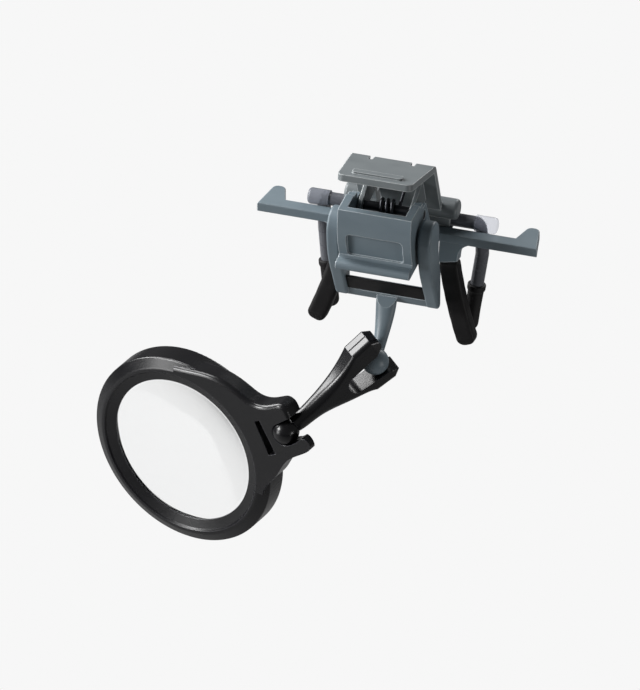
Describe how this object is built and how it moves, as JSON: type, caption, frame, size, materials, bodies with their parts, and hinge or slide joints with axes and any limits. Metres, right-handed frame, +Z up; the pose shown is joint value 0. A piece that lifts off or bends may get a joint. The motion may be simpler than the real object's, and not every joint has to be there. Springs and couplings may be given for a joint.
{
  "type": "clip-on loupe",
  "caption": "Magnifying loupe that clips to the bridge of spectacles, with a sprung grip, a flip-up bracket and a ball-jointed arm to a round lens.",
  "frame": {"origin": "underside of the cross bar, at the middle of its width and of the gap that the spectacles' bridge goes into", "axes": "+X along the cross bar to the right of the picture's viewer, +Y from the viewer to the wearer's face, +Z up"},
  "size_m": [0.0864, 0.0375, 0.0885],
  "materials": {
    "grey_plastic": "satin blue-grey moulding",
    "black_plastic": "satin black moulding",
    "black_rubber": "soft matt",
    "black_strip": "matt",
    "rod_metal": "dark grey coating",
    "steel": "drawn steel",
    "spring_steel": "drawn wire",
    "clear_cap": "clear, slightly milky",
    "clear_lens": "polished, thin coating"
  },
  "bodies": {
    "front_clip": {"front_bar": "grey_plastic", "thumb_block": "grey_plastic", "hinge_pin": "steel", "torsion_spring": "spring_steel", "front_sleeve_left": "black_rubber", "front_sleeve_right": "black_rubber"},
    "rear_clip": {"rear_lever": "grey_plastic", "rear_bail": "rod_metal", "rear_sleeve_left": "black_rubber", "rear_sleeve_right": "black_rubber", "bail_cap_left": "clear_cap", "bail_cap_right": "clear_cap"},
    "swing_bracket": {"flip_bracket": "grey_plastic", "bracket_stop_strip": "black_strip"},
    "stem_ball": {"upper_ball": "grey_plastic"},
    "arm": {"link_arm": "black_plastic"},
    "neck_ball": {"lower_ball": "black_plastic"},
    "lens_unit": {"lens_ring": "black_plastic", "lens": "clear_lens", "lens_retaining_ring": "black_plastic"}
  },
  "joints": [
    {"name": "jaw_hinge", "type": "hinge", "parent": "front_clip", "child": "rear_clip", "pos_m": [0, -0.008, 0.0099], "axis": [1, 0, 0], "range_deg": [0, 20], "stiffness_Nm_per_rad": 0.06, "springref_deg": -20.05, "deforming": ["torsion_spring"]},
    {"name": "bracket_flip", "type": "hinge", "parent": "front_clip", "child": "swing_bracket", "pos_m": [0, -0.0113, 0.0068], "axis": [1, 0, 0], "range_deg": [-95, 0]},
    {"name": "stem_ball_spin", "type": "hinge", "parent": "swing_bracket", "child": "stem_ball", "pos_m": [0, -0.0162, -0.0209], "axis": [0, 0.866, 0.5], "range_deg": [-40, 40]},
    {"name": "arm_swing", "type": "hinge", "parent": "stem_ball", "child": "arm", "pos_m": [0, -0.0162, -0.0209], "axis": [-0.3876, -0.3322, 0.8599], "range_deg": [-40, 60]},
    {"name": "neck_ball_spin", "type": "hinge", "parent": "arm", "child": "neck_ball", "pos_m": [-0.01456, -0.02868, -0.03229], "axis": [0.6529, 0.5596, 0.5105], "range_deg": [-60, 60]},
    {"name": "lens_swing", "type": "hinge", "parent": "neck_ball", "child": "lens_unit", "pos_m": [-0.01456, -0.02868, -0.03229], "axis": [-0.4572, 0.1311, 0.8796], "range_deg": [-40, 50]}
  ]
}
